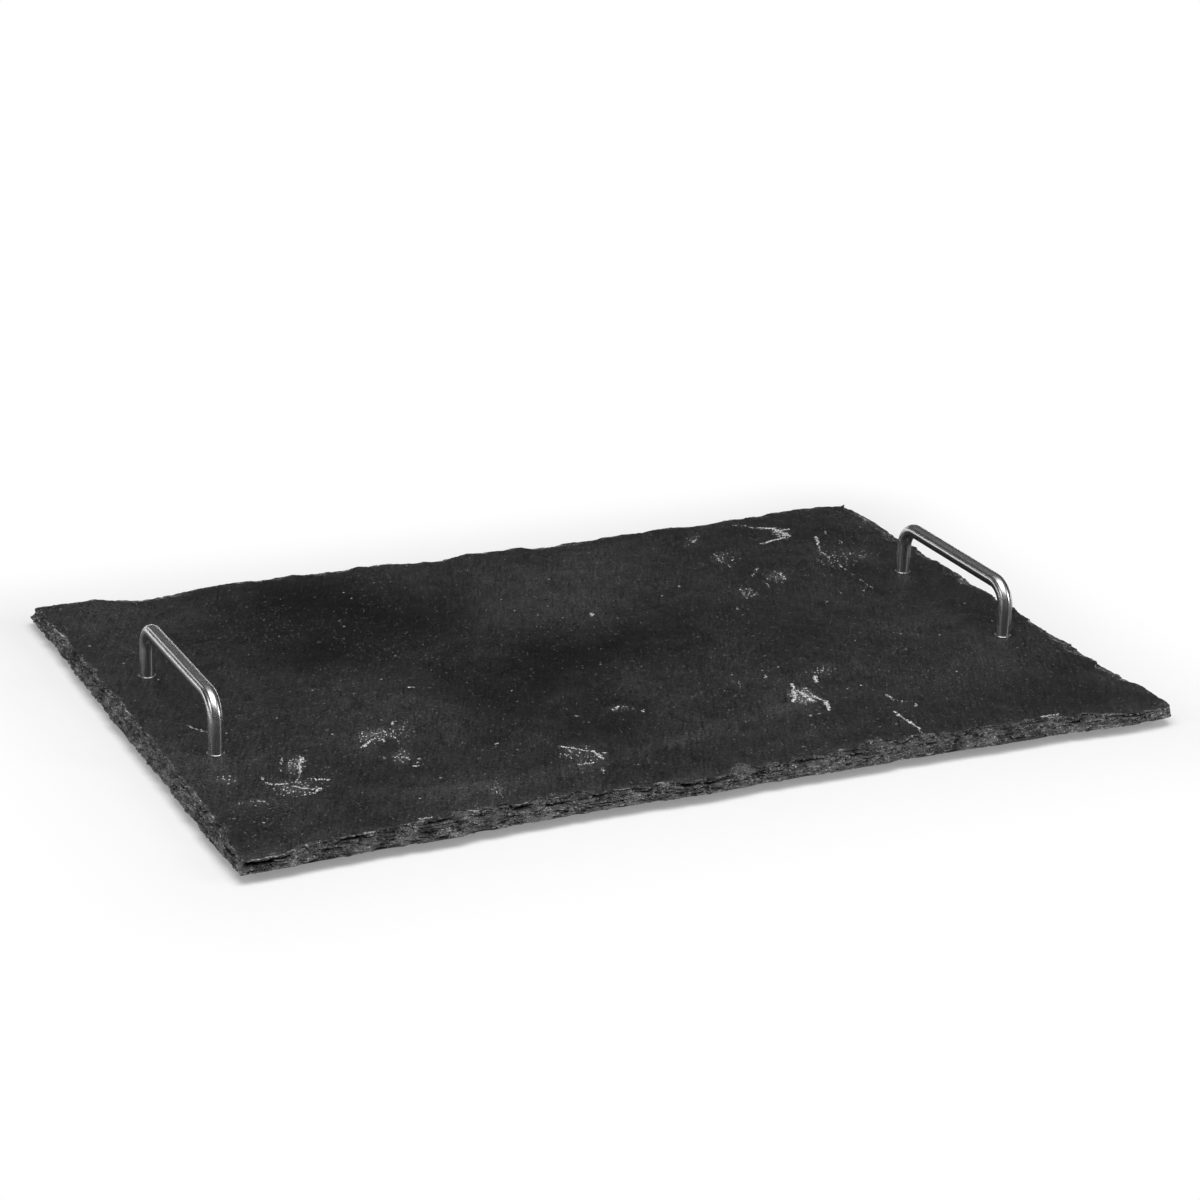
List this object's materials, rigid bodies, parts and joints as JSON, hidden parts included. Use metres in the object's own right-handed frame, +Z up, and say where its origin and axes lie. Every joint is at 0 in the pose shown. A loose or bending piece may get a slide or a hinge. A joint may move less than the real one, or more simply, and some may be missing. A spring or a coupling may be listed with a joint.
{
  "type": "serving board",
  "caption": "Rectangular slate slab with hewn, chipped edges, a low bent rod handle screwed on near each end, and rubber feet underneath.",
  "frame": {"origin": "middle of the board's box, on the plane that the rubber feet stand on", "axes": "+X along the board's length, from one handle to the other; +Y across its width; +Z up, out of the serving face"},
  "size_m": [0.455, 0.308, 0.0375],
  "materials": {
    "slate": "riven face with a faint sheen, rough hewn edges",
    "handle_steel": "satin polished",
    "washer_steel": "bright stamped",
    "screw_steel": "bright zinc",
    "foot_rubber": "matt black"
  },
  "bodies": {
    "root": {"slate_board": "slate", "left_handle": "handle_steel", "right_handle": "handle_steel", "front_left_leg_washer": "washer_steel", "rear_left_leg_washer": "washer_steel", "front_right_leg_washer": "washer_steel", "rear_right_leg_washer": "washer_steel", "front_left_screw": "screw_steel", "rear_left_screw": "screw_steel", "front_right_screw": "screw_steel", "rear_right_screw": "screw_steel", "front_left_wide_washer": "washer_steel", "rear_left_wide_washer": "washer_steel", "front_right_wide_washer": "washer_steel", "rear_right_wide_washer": "washer_steel", "front_left_foot": "foot_rubber", "rear_left_foot": "foot_rubber", "front_right_foot": "foot_rubber", "rear_right_foot": "foot_rubber"}
  },
  "joints": []
}
